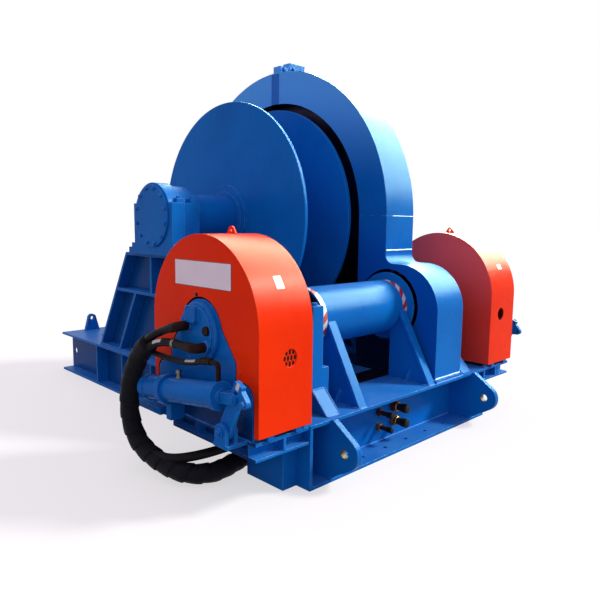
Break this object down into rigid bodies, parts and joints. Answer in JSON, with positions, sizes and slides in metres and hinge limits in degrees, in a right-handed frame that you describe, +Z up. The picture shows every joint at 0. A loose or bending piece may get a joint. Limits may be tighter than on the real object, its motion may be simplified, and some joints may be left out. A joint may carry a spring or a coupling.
{
  "type": "hydraulic drum winch",
  "caption": "Skid-mounted hydraulic winch with a flanged rope drum, bull gear under an arched casing, hooded brakes with levers and hydraulic motors at both ends.",
  "frame": {"origin": "On the underside of the skid, at the middle of the object's length and width", "axes": "+X along the drum shaft to the gear side, +Y to the rear, +Z up"},
  "size_m": [3.2233, 3.9228, 2.9659],
  "materials": {
    "blue_paint": "glossy blue enamel on steel",
    "orange_paint": "glossy safety orange enamel on sheet steel",
    "gear_steel": "machined gear steel with a film of grease",
    "bright_steel": "turned and ground steel",
    "brake_iron": "bare cast iron, worn smooth on the rim",
    "bearing_bronze": "bearing bronze",
    "dark_fitting": "dark coated steel fittings",
    "coupling_steel": "plated steel couplings, dulled",
    "black_rubber": "black hydraulic hose and woven hose wrap"
  },
  "bodies": {
    "skid": {"front_beam": "blue_paint", "rear_beam": "blue_paint", "left_side_beam": "blue_paint", "right_side_beam": "blue_paint", "cross_beams": "blue_paint", "deck_plate": "blue_paint", "front_padeyes": "blue_paint", "rear_padeyes": "blue_paint", "left_wing": "blue_paint", "right_wing": "blue_paint", "left_pedestal": "blue_paint", "right_pedestal": "blue_paint", "left_bearing_base": "blue_paint", "right_bearing_base": "blue_paint", "bearing_caps": "blue_paint", "bearing_covers": "blue_paint", "casing_front_upper": "blue_paint", "casing_rear_upper": "blue_paint", "casing_front_lower": "blue_paint", "casing_rear_lower": "blue_paint", "casing_strap": "blue_paint", "shaft_tube": "blue_paint", "tube_stands": "blue_paint", "left_pinion_pedestal": "blue_paint", "right_pinion_pedestal": "blue_paint", "motor_plates": "blue_paint", "left_motor": "blue_paint", "right_motor": "blue_paint", "lever_brackets": "blue_paint", "left_brake_cylinder": "blue_paint", "right_brake_cylinder": "blue_paint", "cylinder_saddles": "blue_paint", "left_guard": "orange_paint", "right_guard": "orange_paint", "guard_eyes": "orange_paint", "guard_vent": "orange_paint", "brake_bands": "brake_iron", "drum_bushes": "bearing_bronze", "pinion_bushes": "bearing_bronze", "motor_elbows": "dark_fitting", "brake_ports": "dark_fitting", "bulkhead_couplings": "coupling_steel", "hose_bundle": "black_rubber", "tail_hose": "black_rubber", "motor_hose_upper": "black_rubber", "motor_hose_lower": "black_rubber", "brake_hose": "black_rubber"},
    "drum": {"drum_flanges": "blue_paint", "drum_barrel": "blue_paint", "gear_spacer": "blue_paint", "drum_shaft": "blue_paint", "bull_gear": "gear_steel"},
    "pinion": {"pinion": "gear_steel", "pinion_shaft": "bright_steel", "brake_drums": "brake_iron"},
    "left_lever": {"left_brake_lever": "blue_paint"},
    "right_lever": {"right_brake_lever": "blue_paint"},
    "left_rod": {"left_brake_rod": "bright_steel"},
    "right_rod": {"right_brake_rod": "bright_steel"}
  },
  "joints": [
    {"name": "drum_spin", "type": "hinge", "parent": "skid", "child": "drum", "pos_m": [0, 0.05644, 1.57495], "axis": [1, 0, 0], "continuous": true},
    {"name": "pinion_spin", "type": "hinge", "parent": "skid", "child": "pinion", "pos_m": [0, -1.26244, 0.9145], "axis": [1, 0, 0], "continuous": true},
    {"name": "left_rod_slide", "type": "slide", "parent": "skid", "child": "left_rod", "axis": [0, -0.9903, 0.1392], "range_m": [0, 0.04], "stiffness_N_per_m": 30000, "springref_m": -0.02},
    {"name": "left_lever_pivot", "type": "hinge", "parent": "skid", "child": "left_lever", "pos_m": [-1.5, -1.61744, 0.452], "axis": [1, 0, 0], "range_deg": [0, 8.3]},
    {"name": "right_rod_slide", "type": "slide", "parent": "skid", "child": "right_rod", "axis": [0, -0.9903, 0.1392], "range_m": [0, 0.04], "stiffness_N_per_m": 30000, "springref_m": -0.02},
    {"name": "right_lever_pivot", "type": "hinge", "parent": "skid", "child": "right_lever", "pos_m": [1.5, -1.61744, 0.452], "axis": [1, 0, 0], "range_deg": [0, 8.3]}
  ],
  "couplings": [
    {"joint": "pinion_spin", "follows": "drum_spin", "ratio": -4.9},
    {"joint": "left_lever_pivot", "follows": "left_rod_slide", "rad_per_m": 3.5857},
    {"joint": "right_lever_pivot", "follows": "right_rod_slide", "rad_per_m": 3.5857}
  ]
}
